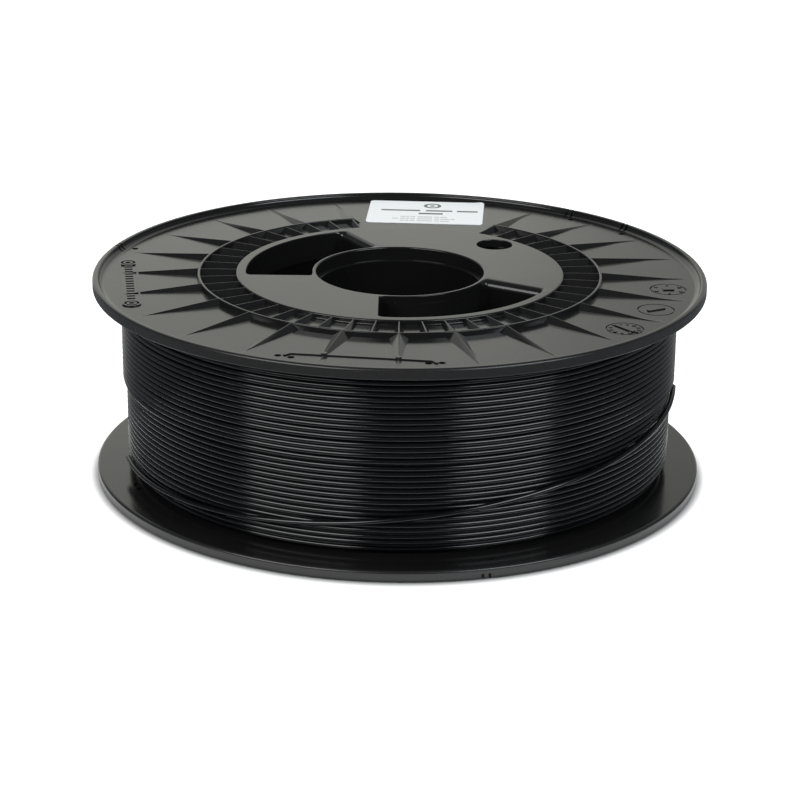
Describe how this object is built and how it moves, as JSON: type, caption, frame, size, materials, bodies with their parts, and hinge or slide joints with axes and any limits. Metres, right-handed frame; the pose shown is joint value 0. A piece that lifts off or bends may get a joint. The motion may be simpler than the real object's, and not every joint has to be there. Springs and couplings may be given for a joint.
{
  "type": "filament spool",
  "caption": "Full filament spool: two ribbed flanges on a hollow drum with a through bore, wound with 1.75 mm filament, with a paper label.",
  "frame": {"origin": "on the spool's axis, in the plane of the lower flange's outer face that the spool stands on", "axes": "+Z along the bore axis from the lower flange to the labelled flange, +Y towards the label's side, -Y the front"},
  "size_m": [0.2, 0.2, 0.0676],
  "materials": {
    "upper_flange_plastic": "satin moulded black polystyrene",
    "lower_flange_plastic": "satin moulded black polystyrene",
    "core_plastic": "satin moulded black polystyrene",
    "filament": "glossy extruded black PETG",
    "label_paper": "smooth coated white label paper"
  },
  "bodies": {
    "root": {"upper_flange": "upper_flange_plastic", "lower_flange": "lower_flange_plastic", "upper_core": "core_plastic", "lower_core": "core_plastic", "bore_tube": "core_plastic", "wound_filament": "filament", "outer_layer": "filament", "crossing_turn": "filament", "product_label": "label_paper"}
  },
  "joints": []
}
